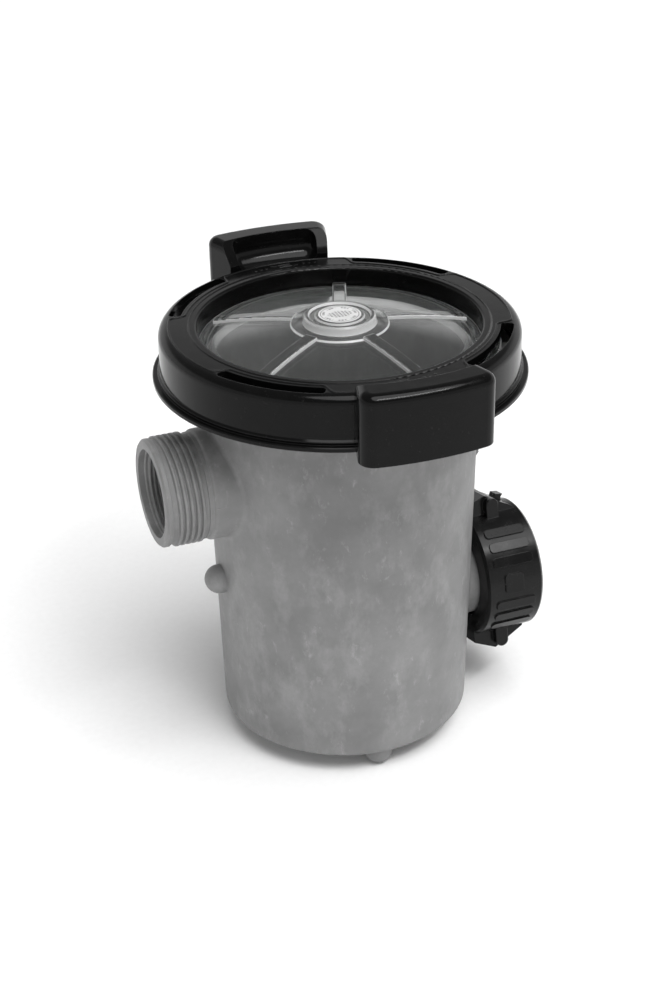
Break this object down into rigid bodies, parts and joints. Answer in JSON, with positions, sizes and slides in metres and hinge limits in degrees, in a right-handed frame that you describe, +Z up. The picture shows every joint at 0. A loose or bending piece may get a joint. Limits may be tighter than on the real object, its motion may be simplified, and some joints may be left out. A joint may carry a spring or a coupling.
{
  "type": "basket strainer",
  "caption": "In-line basket strainer: grey moulded pot with a threaded inlet and a union outlet, a clear domed lid under a black quarter-turn ring with lever handles, and a lift-out basket.",
  "frame": {"origin": "centre of the pot's flat base", "axes": "+Z up the pot's axis, -X out of the inlet, +X out of the outlet, ring handles at -Y and +Y"},
  "size_m": [0.2194, 0.2468, 0.2582],
  "materials": {
    "pot_plastic": "moulded polypropylene, slightly mottled",
    "clear_plastic": "clear polycarbonate, polished",
    "ring_plastic": "glossy black moulding",
    "nut_plastic": "satin black moulding",
    "basket_plastic": "pale grey moulded polypropylene",
    "seal_rubber": "black moulded rubber",
    "label_paper": "printed gloss label"
  },
  "bodies": {
    "housing": {"strainer_body": "pot_plastic", "union_seal": "seal_rubber"},
    "basket": {"basket": "basket_plastic"},
    "bail": {"basket_bail": "basket_plastic"},
    "lid": {"lid": "clear_plastic", "lid_seal": "seal_rubber", "lid_label": "label_paper"},
    "ring": {"lock_ring": "ring_plastic"},
    "nut": {"union_nut_front_half": "nut_plastic", "union_nut_rear_half": "nut_plastic"}
  },
  "joints": [
    {"name": "basket_lift", "type": "slide", "parent": "housing", "child": "basket", "axis": [0, 0, 1], "range_m": [0, 0.2]},
    {"name": "lid_lift", "type": "slide", "parent": "basket", "child": "lid", "axis": [0, 0, 1], "range_m": [0, 0.1]},
    {"name": "ring_turn", "type": "hinge", "parent": "lid", "child": "ring", "pos_m": [0, 0, 0.234], "axis": [0, 0, 1], "range_deg": [-40, 0]},
    {"name": "bail_swing", "type": "hinge", "parent": "basket", "child": "bail", "pos_m": [0, 0, 0.1242], "axis": [-1, 0, 0], "range_deg": [0, 180]},
    {"name": "nut_spin", "type": "hinge", "parent": "housing", "child": "nut", "pos_m": [0.094, 0, 0.0615], "axis": [1, 0, 0], "continuous": true}
  ]
}
